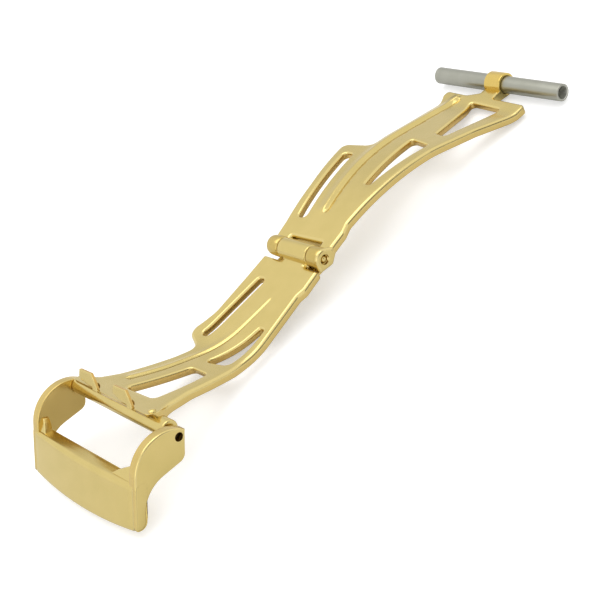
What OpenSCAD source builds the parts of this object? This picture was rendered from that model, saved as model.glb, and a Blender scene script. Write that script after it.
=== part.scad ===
// Deployant watch clasp, laid open on a table.
// X runs along the strap, Y along the hinge pins, +Z is up and Z = 0 is the table.
// The buckle frame is at the -X end, the spring bar tube at the +X end.

/* [Buckle frame] */
// Clear width between the cheeks, for the strap
strap_w = 18; // [16:0.5:22]
// Thickness of each cheek
cheek_t = 1.2; // [1:0.1:1.6]
// Thickness of the front plate
front_t = 1.35; // [1.1:0.05:1.7]
// Height of the front plate at its ends
front_h = 4.9; // [4:0.1:6]
// How far the lower edge of the front plate dips at mid width
front_dip = 0.7; // [0.3:0.1:1]
// How far the front face bulges forward at mid width
front_bulge = 0.45; // [0.2:0.05:0.8]
// Distance from the pivot pin forward to the front face
frame_reach = 5.35; // [5:0.05:6.5]
// Distance from the pivot pin down to the top of the front plate
frame_drop = 3.95; // [3.6:0.05:4.4]
// Radius of the cheek's domed top
cheek_top_r = 4.35; // [4.2:0.05:4.6]
// Radius of the hollow behind the front plate
cheek_hollow_r = 3.7; // [3:0.1:3.8]
// Lean of the frame when the clasp lies open, in degrees
frame_lean = 32; // [20:1:40]
// Height of the cheek's top above the pivot pin
cheek_crown = 1.04; // [0.95:0.02:1.2]
// Distance from the pivot pin back to the cheek's rear edge
cheek_rear = 0.74; // [0.7:0.02:1]
// Width of the gusset in the window's left front corner
gusset_left = 0.9; // [0.6:0.1:1.5]
// Width of the gusset in the window's right front corner
gusset_right = 2.1; // [1.2:0.1:2.2]
// Height of the gussets above the front plate
gusset_h = 1.45; // [1:0.05:1.6]

/* [Crossbar and its pin] */
// Radius of the crossbar
bar_r = 1.02; // [0.9:0.02:1.2]
// Depth of the seat cut in the crossbar for the end plate
bar_flat = 0.55; // [0.5:0.02:0.6]
// How far the crossbar's centre stands above its pin, square to the end plate
bar_rise = 0.3; // [0.2:0.02:0.34]
// Distance along the end plate from its tip back to the crossbar's axis
bar_back = 2.05; // [1.8:0.05:2.3]
// Radius of the frame pin
frame_pin_r = 0.45; // [0.4:0.01:0.55]
// How deep each end of the frame pin sits below the cheek's face
pin_recess = 0.45; // [0.2:0.05:0.8]
// Radius of the rivet heads on the end plate
rivet_head_r = 0.45; // [0.35:0.05:0.5]
// Height of the rivet heads
rivet_head_h = 0.3; // [0.15:0.05:0.6]
// Radius of the rivet shanks
rivet_r = 0.3; // [0.25:0.05:0.4]
// Distance of each rivet from the middle
rivet_y = 6.55; // [6.3:0.05:6.65]
// Distance along the end plate from its tip back to the rivet heads
rivet_back = 0.95; // [0.9:0.05:1.2]

/* [Blades] */
// Thickness of both blades
blade_t = 1.05; // [0.9:0.05:1.25]
// Depth of the stamped line along each blade
line_depth = 0.25; // [0.1:0.05:0.35]
// Width of the stamped line
line_w = 0.3; // [0.2:0.05:0.5]
// Straight length of the outer blade beside the hinge
outer_straight = 10.2; // [9.4:0.1:11]
// Length of the outer blade's belly bend
outer_bend = 5.55; // [5:0.05:6.5]
// Length of the outer blade's rise to the crossbar
outer_rise = 12.8; // [11.8:0.1:13.8]
// Length of the inner blade's arch
inner_arch = 20.85; // [20:0.05:22]
// Straight length of the inner blade after its arch
inner_straight = 9; // [8:0.1:10]
// Length of the inner blade's flat end
inner_end = 2.5; // [2.2:0.1:3.5]
// Height of the strap claws above the end plate
claw_h = 1.53; // [1.2:0.05:2]
// Width of each claw
claw_w = 3.6; // [3.3:0.1:3.8]
// Thickness of each claw
claw_t = 0.35; // [0.3:0.05:0.38]
// Distance of the left claw's right side from the middle
claw_y = 2.4; // [2.2:0.05:2.5]
// Distance from one claw to the other
claw_pitch = 6.65; // [6.4:0.05:7]

/* [Centre hinge] */
// Radius of the knuckles
knuckle_r = 1.22; // [1.1:0.02:1.3]
// Half width of the middle knuckle
knuckle_mid = 2.58; // [2.2:0.02:3]
// Distance of the left outer knuckle's end from the middle
knuckle_left = 4.25; // [4:0.05:4.6]
// Distance of the right outer knuckle's end from the middle
knuckle_right = 4.7; // [4.6:0.05:5]
// Radius of the hinge pin
hinge_pin_r = 0.47; // [0.4:0.01:0.55]
// Depth of the ear below the hinge pin
ear_drop = 1.35; // [1.25:0.05:1.5]
// Thickness of the ear
ear_t = 0.4; // [0.35:0.05:0.6]

/* [Spring bar tube] */
// Length of the tube
tube_l = 20.4; // [16:0.2:22]
// Outer radius of the tube
tube_r = 1.05; // [0.95:0.05:1.2]
// Radius of the tube's bore, for a spring bar
tube_bore_r = 0.8; // [0.6:0.05:0.85]
// Thickness of the loop round the tube
loop_t = 0.4; // [0.35:0.05:0.6]
// Width of the loop
loop_w = 2.5; // [2.2:0.1:3.4]
// Distance from the end of the inner blade to the tube's axis
neck_reach = 2.1; // [1.8:0.1:2.8]
// How far the loop hangs below the inner blade's end
loop_sink = 0.5; // [0.35:0.05:0.7]

/* [Fits] */
// Radial clearance of a pin that turns in its hole
run_fit = 0.03; // [0.02:0.01:0.05]
// Radial clearance of a pin that is driven in
drive_fit = 0.01; // [0.01:0.005:0.015]
// Side clearance between neighbouring knuckles
side_fit = 0.06; // [0.04:0.01:0.1]
// End clearance between the crossbar and the left cheek
bar_end_fit = 0.06; // [0.04:0.01:0.1]
// Gap between the crossbar and the right cheek
bar_end_gap = 0.4; // [0.3:0.05:0.5]
// Gap between a knuckle and the blade edge that passes it
swing_gap = 0.15; // [0.1:0.05:0.25]
// Gap behind the middle knuckle
slot_gap = 0.4; // [0.2:0.05:0.5]

/* [Hidden] */
$fn = 96;

gold = [0.87, 0.74, 0.42];
deep_gold = [0.84, 0.66, 0.30];
steel = [0.66, 0.66, 0.62];

frame_w = strap_w + 2 * cheek_t;
cut_over = 1;
seat_half_w = 7.6;
join = 0.03;
big = 30;

// A path is a start [x, z, heading] and a list of [length, turn in degrees]
outer_start = [0.75, -0.61, -11.2];
outer_path = [[outer_straight, 0], [outer_bend, 32.4], [outer_rise, 10.8]];
inner_start = [0.8, 0.39, 12.3];
inner_path = [[inner_arch, -29.6], [inner_straight, 0], [1.35, 16.3], [inner_end, 0]];

function arc_r(seg) = seg[0] / (seg[1] * PI / 180);
function after(p, seg) = seg[1] == 0
    ? [p[0] + seg[0] * cos(p[2]), p[1] + seg[0] * sin(p[2]), p[2]]
    : [p[0] + arc_r(seg) * (sin(p[2] + seg[1]) - sin(p[2])),
       p[1] - arc_r(seg) * (cos(p[2] + seg[1]) - cos(p[2])),
       p[2] + seg[1]];
function pose(p, path, i) = i == 0 ? p : after(pose(p, path, i - 1), path[i - 1]);

outer_tip = pose(outer_start, outer_path, len(outer_path));
inner_tip = pose(inner_start, inner_path, len(inner_path));

// The end plate is cut upright at its tip, and each claw starts at its right side there
plate_trim = 0.25;
plate_x = outer_tip[0] - plate_trim;
plate_z = outer_tip[1] - plate_trim * tan(outer_tip[2]);
claw_ys = [claw_y, claw_y - claw_pitch];

// The crossbar lies under the outer blade's end plate, the tube past the inner blade's end
bar_drop = blade_t + bar_r + bar_rise - bar_flat;
bar_x = -(outer_tip[0] - bar_back * cos(outer_tip[2]) + bar_drop * sin(outer_tip[2]));
bar_z = outer_tip[1] - bar_back * sin(outer_tip[2]) - bar_drop * cos(outer_tip[2]);

// Each rivet's axis runs from the bar's axis up to its place on the end plate
rivet_run = [plate_x - rivet_back * cos(outer_tip[2]) + bar_x, plate_z - rivet_back * sin(outer_tip[2]) - bar_z];
rivet_rise = norm(rivet_run);
rivet_lean = atan2(-rivet_run[0], rivet_run[1]);
rivet_sink = rivet_head_r * tan(outer_tip[2] - rivet_lean);
loop_in = tube_r + run_fit;
loop_out = loop_in + loop_t;
tube_x = inner_tip[0] + neck_reach;
tube_z = inner_tip[1] - blade_t - loop_sink + loop_out;

// The clasp stands on the front plate's lower edge and on the loop, centred over the origin
plate_foot = frame_drop + front_h + front_dip;
plate_low = bar_z + (frame_reach - front_t) * sin(frame_lean) - plate_foot * cos(frame_lean);
hinge_z = max(loop_out - tube_z, -plate_low);
front_x = bar_x - (frame_reach + front_bulge) * cos(frame_lean) - plate_foot * sin(frame_lean);
hinge_x = -(front_x + tube_x + loop_out) / 2;

// A polygon whose corners [x, y, r] are rounded, r = 0 for a sharp corner
function unit(v) = v / norm(v);
function corner(a, b, c) =
    let (u = unit([a[0] - b[0], a[1] - b[1]]),
         v = unit([c[0] - b[0], c[1] - b[1]]),
         half = acos(max(-1, min(1, u * v))) / 2,
         side = sign(u[0] * v[1] - u[1] * v[0]),
         reach = b[2] / tan(half),
         p = [b[0], b[1]] + u * reach,
         centre = p + b[2] * side * [-u[1], u[0]],
         start = atan2(p[1] - centre[1], p[0] - centre[0]),
         sweep = side * (180 - 2 * half),
         n = max(2, ceil(abs(sweep) / 9)))
    b[2] == 0 ? [[b[0], b[1]]]
              : [for (i = [0:n]) centre + b[2] * [cos(start - sweep * i / n), sin(start - sweep * i / n)]];
function rounded(pts) =
    let (n = len(pts)) [for (i = [0:n - 1]) each corner(pts[(i + n - 1) % n], pts[i], pts[(i + 1) % n])];

module along_y(y0, y1) {
    translate([0, y1, 0])
        rotate([90, 0, 0])
            linear_extrude(y1 - y0)
                children();
}

module rod_y(x, z, r, y0, y1) {
    translate([x, y1, z])
        rotate([90, 0, 0])
            cylinder(r = r, h = y1 - y0);
}

module plan(pts) {
    translate([0, 0, -big / 2])
        linear_extrude(big)
            polygon(rounded(pts));
}

// One stretch of a strip: from top above the path down to bottom below it
module strip_piece(p, seg, top, bottom) {
    if (seg[1] == 0) {
        translate([p[0], p[1]])
            rotate(p[2])
                translate([0, -bottom])
                    square([seg[0] + join, bottom + top]);
    } else {
        r = arc_r(seg);
        c = [p[0] - r * sin(p[2]), p[1] + r * cos(p[2])];
        a0 = p[2] - sign(r) * 90;
        a1 = a0 + seg[1] * (1 + join / seg[0]);
        reach = 2 * (abs(r) + bottom + top);
        intersection() {
            difference() {
                translate(c)
                    circle(r = abs(r) + (r > 0 ? bottom : top), $fn = 360);
                translate(c)
                    circle(r = abs(r) - (r > 0 ? top : bottom), $fn = 360);
            }
            polygon([c, c + reach * [cos(a0), sin(a0)], c + reach * [cos(a1), sin(a1)]]);
        }
    }
}

module strip(start, path, top, bottom, half_w) {
    along_y(-half_w, half_w)
        for (i = [0:len(path) - 1])
            strip_piece(pose(start, path, i), path[i], top, bottom);
}

module place() {
    translate([hinge_x, 0, hinge_z])
        children();
}

// Plan outlines, as [x, y] or [x, y, corner radius]: x runs from 0 at the hinge to 1 at the blade's
// tip, y > 0 is the left side
function stretched(pts, span) = [for (p = pts) [p[0] * span, each [for (i = [1:len(p) - 1]) p[i]]]];
outer_outline = [
    [-0.055, 4.9, 0], [0.153, 5.25, 2], [0.35, 6.0, 3], [0.478, 7.6, 1.4], [0.54, 4.1, 1.2],
    [0.639, 4.3, 3], [0.85, 5.25, 2], [0.925, 6, 0.8], [0.96, 7.3, 0.5], [1, 7.6, 0.6], [1, -7.5, 0.7],
    [0.955, -7.1, 0.5], [0.915, -6, 0.8], [0.818, -5, 4], [0.529, -4.2, 3], [0.15, -4.3, 0.8], [0.113, -4.5, 0.8],
    [-0.055, -4.5, 0]];
outer_left_slot = [[0.146, 1.95, 0.5], [0.15, 3.15, 0.5], [0.474, 5.5, 0.5], [0.467, 4.25, 0.5]];
outer_wedge_slot = [[0.354, -3, 0.3], [0.354, -2.3, 0.3], [0.595, 0.2, 0.4], [0.569, -2.9, 0.9]];
outer_end_slot = [[0.657, 0.2, 0.5], [0.912, 1.3, 0.5], [0.901, -3.5, 0.5], [0.657, -2.7, 0.5]];
outer_line = [[0.212, -0.95], [0.35, 0.1], [0.464, 1.1], [0.58, 2], [0.726, 2.5], [0.869, 3.3]];

inner_outline = [
    [-0.044, 4.35, 0], [0.089, 4.6, 2], [0.266, 5.9, 4], [0.491, 8.2, 1.4], [0.538, 4.1, 1.2],
    [0.71, 4.8, 4], [0.905, 5.8, 1], [0.953, 6.5, 0.6], [0.982, 6.4, 0.5], [0.985, 1.55, 0.6],
    [1.331, 1.55, 0], [1.331, -1.55, 0], [0.976, -1.55, 0.6], [0.97, -6.7, 0.6],
    [0.923, -6.7, 0.6], [0.754, -5.3, 4], [0.562, -4.7, 4], [0.148, -4.6, 1.2], [0.107, -5.1, 1],
    [-0.044, -5.1, 0]];
inner_left_slot = [[0.124, 2.1, 0.5], [0.124, 3.3, 0.5], [0.456, 6.3, 0.5], [0.456, 4.8, 0.5]];
inner_wedge_slot = [[0.325, -2.6, 0.25], [0.325, -1.8, 0.25], [0.615, 0.2, 0.35], [0.598, -3.1, 0.4]];
inner_end_slot = [[0.68, -3.0, 0.35], [0.686, -1.4, 0.35], [0.941, 1.3, 0.4], [0.929, -3.8, 0.4]];
inner_line = [[0.16, -0.1], [0.278, 0.9], [0.408, 1.9], [0.55, 2.7], [0.71, 3.4], [0.923, 4.5]];

module line_cut(pts) {
    for (i = [0:len(pts) - 2])
        let (a = pts[i], b = pts[i + 1], u = unit(b - a), v = line_w / 2 * [-u[1], u[0]])
            translate([0, 0, -big / 2])
                linear_extrude(big)
                    polygon([a + v, b + v, b - v, a - v]);
}

// The blade's strip, cut to its outline, with its slots and its stamped line
module pressed_blade(start, path, span, outline, slots, line) {
    half_w = 9;
    difference() {
        intersection() {
            strip(start, path, 0, blade_t, half_w);
            plan(stretched(outline, span));
        }
        for (s = slots)
            plan(stretched(s, span));
        intersection() {
            strip(start, path, cut_over, line_depth, half_w);
            line_cut(stretched(line, span));
        }
    }
}

// A claw lanced out of the end plate and bent up square to it: a neck on its right carries a wide head
module claw(y_right) {
    neck_w = 0.95;
    root = 0.3;
    translate([plate_x, y_right, plate_z])
        rotate([0, -outer_tip[2], 0])
            translate([-claw_t, 0, 0])
                rotate([90, 0, 90])
                    linear_extrude(claw_t)
                        polygon([[0, -root], [neck_w, -root], [neck_w, 0], [2.1, claw_h * 0.1],
                                 [claw_w, claw_h * 0.4], [claw_w - 0.15, claw_h * 0.95], [1.15, claw_h],
                                 [0.55, claw_h * 0.58], [0, claw_h * 0.08]]);
}

// The underside of the end plate is bevelled so that it clears the bar at its tip
module tip_bevel() {
    bevel_l = 1.2;
    lip = 0.45;
    under = plate_z - bevel_l * tan(outer_tip[2]) - blade_t / cos(outer_tip[2]);
    along_y(-big, big)
        polygon([[plate_x - bevel_l, under], [plate_x, plate_z - lip], [plate_x + cut_over, plate_z - lip],
                 [plate_x + cut_over, under - big], [plate_x - bevel_l, under - big]]);
}

// The opening that a claw leaves behind it in the end plate, and a slit from there to the tip
module claw_opening(y_right) {
    strip_l = 0.38;
    back_l = 1.1;
    slit_w = 0.36;
    far = claw_w - 0.6;
    translate([plate_x, y_right, -big / 2])
        linear_extrude(big) {
            polygon([[-strip_l, 0.2], [-0.42 * back_l, 0.4], [-0.64 * back_l, 0.68], [-0.85 * back_l, 1.15],
                     [-back_l, 1.7], [-back_l, far - 0.2], [-0.8 * back_l, far], [-strip_l - 0.2, far],
                     [-strip_l, far - 0.2]]);
            polygon([[cut_over, -slit_w - 0.02], [-0.02, -slit_w - 0.02], [-0.5 * back_l, 0.52],
                     [-0.5 * back_l, 0.8], [-strip_l, 0.22], [-0.2, -0.02], [cut_over, -0.02]]);
        }
}

module outer_blade() {
    color(gold)
        place()
            mirror([1, 0, 0])
                difference() {
                    union() {
                        difference() {
                            pressed_blade(outer_start, outer_path, plate_x, outer_outline,
                                          [outer_left_slot, outer_wedge_slot, outer_end_slot], outer_line);
                            for (s = [-1, 1])
                                rod_y(0, 0, knuckle_r + swing_gap, s > 0 ? knuckle_mid : -big,
                                      s > 0 ? big : -knuckle_mid);
                            tip_bevel();
                            for (y = claw_ys)
                                claw_opening(y);
                        }
                        rod_y(0, 0, knuckle_r, -knuckle_mid, knuckle_mid);
                        for (y = claw_ys)
                            claw(y);
                    }
                    rod_y(0, 0, hinge_pin_r + run_fit, -big, big);
                    for (s = [-1, 1])
                        rivet_hole(s);
                }
}

module rivet_place(side) {
    translate([-bar_x, side * rivet_y, bar_z])
        rotate([0, -rivet_lean, 0])
            children();
}

// The rivet's hole, with a spot face that seats its head on the sloping plate
module rivet_hole(side) {
    rivet_place(side) {
        cylinder(r = rivet_r + drive_fit, h = big, $fn = 48);
        translate([0, 0, rivet_rise - rivet_sink])
            cylinder(r = rivet_head_r + drive_fit, h = big, $fn = 48);
    }
}

module plate_rivets() {
    foot = frame_pin_r + drive_fit + 0.15;
    color(gold)
        place()
            mirror([1, 0, 0])
                for (s = [-1, 1])
                    rivet_place(s) {
                        translate([0, 0, foot])
                            cylinder(r = rivet_r, h = rivet_rise - rivet_sink - foot, $fn = 48);
                        translate([0, 0, rivet_rise - rivet_sink])
                            cylinder(r = rivet_head_r, h = rivet_sink + rivet_head_h, $fn = 48);
                    }
}

module crossbar() {
    color(deep_gold)
        place()
            difference() {
                rod_y(bar_x + bar_rise * sin(outer_tip[2]), bar_z + bar_rise * cos(outer_tip[2]), bar_r,
                      -strap_w / 2 + bar_end_gap, strap_w / 2 - bar_end_fit);
                rod_y(bar_x, bar_z, frame_pin_r + drive_fit, -big, big);
                mirror([1, 0, 0]) {
                    strip(outer_start, outer_path, cut_over, blade_t, seat_half_w);
                    for (s = [-1, 1])
                        rivet_hole(s);
                }
            }
}

module frame_pin() {
    half_l = frame_w / 2 - pin_recess;
    color(steel)
        place()
            rod_y(bar_x, bar_z, frame_pin_r, -half_l, half_l);
}

// The cheek's outline with the front plate upright and the pin at the origin
module cheek_outline() {
    top_x = cheek_top_r - frame_reach;
    top_z = cheek_crown - cheek_top_r;
    foot_z = -frame_drop - front_h;
    foot_x = -frame_reach + front_t - 0.12;
    foot_r = front_t - 0.5;
    intersection() {
        union() {
            translate([top_x, top_z])
                circle(r = cheek_top_r, $fn = 180);
            translate([-frame_reach, foot_z])
                square([frame_reach + cheek_rear, top_z - foot_z + 0.01]);
            translate([top_x, foot_z])
                square([cheek_rear - top_x, top_z - foot_z + cheek_top_r * 0.9]);
        }
        polygon(rounded([[-frame_reach, foot_z, 0.3], [-frame_reach, 2, 0], [-1, 2, 0], [cheek_rear, 0.45, 0.9],
                         [cheek_rear, -2.49, 1], [foot_x, foot_z + 4.1, cheek_hollow_r],
                         [foot_x, foot_z, foot_r]]));
    }
}

module front_plate() {
    half_w = frame_w / 2;
    bulge_r = (half_w * half_w + front_bulge * front_bulge) / (2 * front_bulge);
    dip_r = (half_w * half_w + front_dip * front_dip) / (2 * front_dip);
    foot_z = -frame_drop - front_h;
    intersection() {
        translate([-frame_reach - front_bulge, -half_w, foot_z - front_dip])
            cube([front_t + front_bulge, frame_w, front_h + front_dip]);
        translate([-frame_reach - front_bulge + bulge_r, 0, foot_z - front_dip - 1])
            cylinder(r = bulge_r, h = front_h + front_dip + 2, $fn = 720);
        translate([-frame_reach - 2, 0, foot_z - front_dip + dip_r])
            rotate([0, 90, 0])
                cylinder(r = dip_r, h = front_t + 4, $fn = 720);
    }
}

// A web on the front plate against the cheek: it ramps back from the front edge and slopes off sideways
module gusset(side, width) {
    rear_x = -frame_reach + front_t;
    root = 0.3;
    wall = strap_w / 2;
    crest = -frame_drop + gusset_h;
    intersection() {
        along_y(-wall - root, wall + root)
            polygon([[-frame_reach, -frame_drop - root], [-frame_reach, -frame_drop],
                     [-frame_reach + 0.6, crest], [rear_x, crest], [rear_x, -frame_drop - root]]);
        translate([-frame_reach, 0, 0])
            rotate([90, 0, 90])
                linear_extrude(front_t)
                    polygon([[side * (wall - width), -frame_drop - root], [side * (wall - width), -frame_drop],
                             [side * (wall - width * 0.45), crest], [side * (wall + root), crest],
                             [side * (wall + root), -frame_drop - root]]);
    }
}

module buckle_frame() {
    color(gold)
        place()
            translate([bar_x, 0, bar_z])
                rotate([0, frame_lean, 0])
                    difference() {
                        union() {
                            for (s = [-1, 1]) {
                                along_y(s > 0 ? strap_w / 2 : -frame_w / 2, s > 0 ? frame_w / 2 : -strap_w / 2)
                                    cheek_outline();
                                gusset(s, s > 0 ? gusset_left : gusset_right);
                            }
                            front_plate();
                        }
                        rod_y(0, 0, frame_pin_r + run_fit, -big, big);
                    }
}

module inner_blade() {
    color(gold)
        place()
            difference() {
                union() {
                    difference() {
                        pressed_blade(inner_start, inner_path, inner_tip[0], inner_outline,
                                      [inner_left_slot, inner_wedge_slot, inner_end_slot], inner_line);
                        rod_y(0, 0, knuckle_r + slot_gap, -knuckle_mid - side_fit, knuckle_mid + side_fit);
                    }
                    rod_y(0, 0, knuckle_r, knuckle_mid + side_fit, knuckle_left);
                    rod_y(0, 0, knuckle_r, -knuckle_right, -knuckle_mid - side_fit);
                    ear();
                    neck();
                    rod_y(tube_x, tube_z, loop_out, -loop_w / 2, loop_w / 2);
                }
                rod_y(0, 0, hinge_pin_r + drive_fit, -big, big);
                rod_y(tube_x, tube_z, loop_in, -big, big);
            }
}

// The ear at the right end of the hinge, rounded over the pin and squared below it
module ear() {
    along_y(-knuckle_right - ear_t, -knuckle_right)
        union() {
            circle(r = knuckle_r);
            polygon(rounded([[-knuckle_r, 0, 0], [-knuckle_r, -ear_drop * 0.8, 0.3], [0.7, -ear_drop, 0.4],
                             [1.7, -0.5, 0.3], [1.7, 0.5, 0], [0, knuckle_r, 0]]));
        }
}

// The neck thins from the blade's thickness down to the loop's
module neck() {
    along_y(-loop_w / 2, loop_w / 2)
        polygon([[inner_tip[0] - 0.5, inner_tip[1] - blade_t], [inner_tip[0] - 0.5, inner_tip[1]],
                 [inner_tip[0] + 0.6, inner_tip[1]], [tube_x - loop_in, tube_z],
                 [tube_x, tube_z - loop_in - loop_t / 2], [tube_x, tube_z - loop_out]]);
}

module hinge_pin() {
    color(steel)
        place()
            rod_y(0, 0, hinge_pin_r, -knuckle_right - ear_t / 2, knuckle_left - 0.1);
}

module spring_bar_tube() {
    color(steel)
        place()
            difference() {
                rod_y(tube_x, tube_z, tube_r, -tube_l / 2, tube_l / 2);
                rod_y(tube_x, tube_z, tube_bore_r, -big, big);
            }
}

buckle_frame();
crossbar();
frame_pin();
plate_rivets();
outer_blade();
inner_blade();
hinge_pin();
spring_bar_tube();
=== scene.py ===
# %% [markdown]
# # A deployant watch clasp, laid open
# A deployant clasp holds a leather watch strap. Two curved blades fold on a centre hinge. A buckle frame
# at one end grips the strap, and a steel tube at the other end takes a spring bar.
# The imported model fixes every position. This script gives each piece its real surface: tumbled edges,
# stamped lines, polished gold plate and satin steel.

# %% Load the frame
import bpy
import bmesh
import math
from mathutils import Matrix, Vector, geometry, kdtree


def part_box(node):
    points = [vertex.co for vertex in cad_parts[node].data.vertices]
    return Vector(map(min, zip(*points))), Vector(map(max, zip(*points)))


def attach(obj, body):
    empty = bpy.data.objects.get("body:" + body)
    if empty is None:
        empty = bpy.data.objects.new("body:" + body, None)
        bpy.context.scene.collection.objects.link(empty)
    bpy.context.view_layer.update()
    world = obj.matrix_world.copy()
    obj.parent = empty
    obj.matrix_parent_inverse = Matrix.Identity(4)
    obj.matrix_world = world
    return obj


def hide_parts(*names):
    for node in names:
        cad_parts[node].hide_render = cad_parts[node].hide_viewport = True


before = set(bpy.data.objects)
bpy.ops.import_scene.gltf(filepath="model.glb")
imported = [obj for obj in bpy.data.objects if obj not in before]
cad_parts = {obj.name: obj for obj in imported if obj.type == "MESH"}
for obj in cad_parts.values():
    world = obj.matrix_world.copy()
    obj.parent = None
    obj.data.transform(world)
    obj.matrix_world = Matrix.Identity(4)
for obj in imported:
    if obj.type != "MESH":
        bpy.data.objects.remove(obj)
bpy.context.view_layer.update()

# %% [markdown]
# ## Where things are
# All lengths below are millimetres, because the clasp is small. Everything is measured from the centre
# hinge, so the script first asks the frame where the hinge, the crossbar and the tube lie.

# %% Read the three axes from the frame
MM = 0.001


def middle(node):
    low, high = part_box(node)
    return Vector([(a + b) / 2 / MM for a, b in zip(low, high)])


hinge = middle("hinge_pin")
hinge.y = 0
bar = middle("frame_pin") - hinge
tube = middle("spring_bar_tube") - hinge
bar.y = tube.y = 0
print("hinge axis at x %.3f z %.3f mm" % (hinge.x, hinge.z))
print("crossbar %.3f mm and tube %.3f mm along from it" % (bar.x, tube.x))

# %% [markdown]
# ## Outlines with rounded corners
# A pressed part starts as a drawing: straight runs joined by small arcs. A corner is written as its
# place and its radius. Longer runs are cut into short steps, so that the metal can bend smoothly later.


# %% Turn corners into a smooth closed line
def rounded(corners, step=0.3, arc_step=0.15):
    """A closed line from corners (x, y, radius), cut into short steps."""
    line = []
    for i, (x, y, r) in enumerate(corners):
        here = Vector((x, y))
        back = (Vector(corners[i - 1][:2]) - here).normalized()
        ahead = (Vector(corners[(i + 1) % len(corners)][:2]) - here).normalized()
        if r == 0:
            line.append(here)
            continue
        half = back.angle(ahead) / 2
        side = 1 if back.cross(ahead) > 0 else -1
        touch = here + back * r / math.tan(half)
        centre = touch + side * r * Vector((-back.y, back.x))
        sweep = side * (math.pi - 2 * half)
        count = max(3, math.ceil(abs(sweep) * r / arc_step))
        for k in range(count + 1):
            spoke = (touch - centre).copy()
            spoke.rotate(Matrix.Rotation(-sweep * k / count, 2))
            line.append(centre + spoke)
    return stepped(line, step)


def stepped(line, step):
    out = []
    for i in range(len(line)):
        a, b = line[i], line[(i + 1) % len(line)]
        count = max(1, round((b - a).length / step))
        out += [a.lerp(b, k / count) for k in range(count)]
    return out


def circle(r, count):
    turns = [2 * math.pi * k / count for k in range(count)]
    return [Vector((r * math.cos(a), r * math.sin(a))) for a in turns]


def area(line):
    """Above zero where the line runs anticlockwise."""
    return sum(line[i - 1].cross(line[i]) for i in range(len(line))) / 2


# %% [markdown]
# ## A tumbled blank
# Every flat part here is a blank: punched from sheet, then tumbled so that its edges go round. The edge
# is a stack of rings that follow the outline. The rings step in and down along a quarter circle, so that
# light rolls over the edge as it does on real metal. The flat faces between them are filled with small
# triangles, which bend well. Two point attributes serve the materials: rim marks the rounded edge, where
# a brighter tint is painted as highlight, and wall marks the cut side, where a deeper tone is painted as
# shade.


# %% Offset a line into the metal
def inward(line):
    """The step into the metal at each point, longer at corners, and at most twice as long."""
    out = []
    for i in range(len(line)):
        before = (line[i] - line[i - 1]).normalized()
        after = (line[(i + 1) % len(line)] - line[i]).normalized()
        n = Vector((-before.y - after.y, before.x + after.x)).normalized()
        out.append(n / max(0.5, n.dot(Vector((-after.y, after.x)))))
    return out


def inside(p, lines):
    """A point is in the metal if a ray from it crosses the lines an odd number of times."""
    hit = False
    for line in lines:
        for i in range(len(line)):
            a, b = line[i - 1], line[i]
            if (a.y > p.y) != (b.y > p.y) and p.x < (b.x - a.x) * (p.y - a.y) / (b.y - a.y) + a.x:
                hit = not hit
    return hit


# %% Fill a face between its rings
ROW, CLEAR = 0.87, 0.55


def fill(bm, rings, level, pitch, rails, flip):
    """Rows of points, ROW pitches apart, fill the face; they stay CLEAR pitches off its edges."""
    flat, owners, edges = [], [], []
    for ring in rings:
        start = len(flat)
        flat += [v.co.xy.copy() for v in ring]
        owners += ring
        edges += [(start + i, start + (i + 1) % len(ring)) for i in range(len(ring))]
    lines = [[v.co.xy for v in ring] for ring in rings]
    for rail in rails:
        start = len(flat)
        flat += rail
        edges += [(start + i, start + i + 1) for i in range(len(rail) - 1)]
    tree = kdtree.KDTree(len(flat))
    for i, p in enumerate(flat):
        tree.insert((p.x, p.y, 0), i)
    tree.balance()
    xs = [p.x for p in flat]
    ys = [p.y for p in flat]
    rows = math.ceil((max(ys) - min(ys)) / (pitch * ROW))
    columns = math.ceil((max(xs) - min(xs)) / pitch)
    for r in range(rows):
        for c in range(columns):
            p = Vector((min(xs) + (c + r % 2 / 2) * pitch, min(ys) + r * pitch * ROW))
            if tree.find((p.x, p.y, 0))[2] > pitch * CLEAR and inside(p, lines):
                flat.append(p)
    points, _, faces, origin, _, _ = geometry.delaunay_2d_cdt(flat, edges, [], 1, 1e-6)
    verts = []
    for p, source in zip(points, origin):
        own = [i for i in source if i < len(owners)]
        verts.append(owners[own[0]] if own else bm.verts.new((p.x, p.y, level)))
    for face in faces:
        mid = sum((points[i] for i in face), Vector((0, 0))) / len(face)
        if inside(mid, lines):
            bm.faces.new([verts[i] for i in (reversed(face) if flip else face)])


# %% Build the blank
UNDERSIDE, NEAR = 1.6, 0.01


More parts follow.
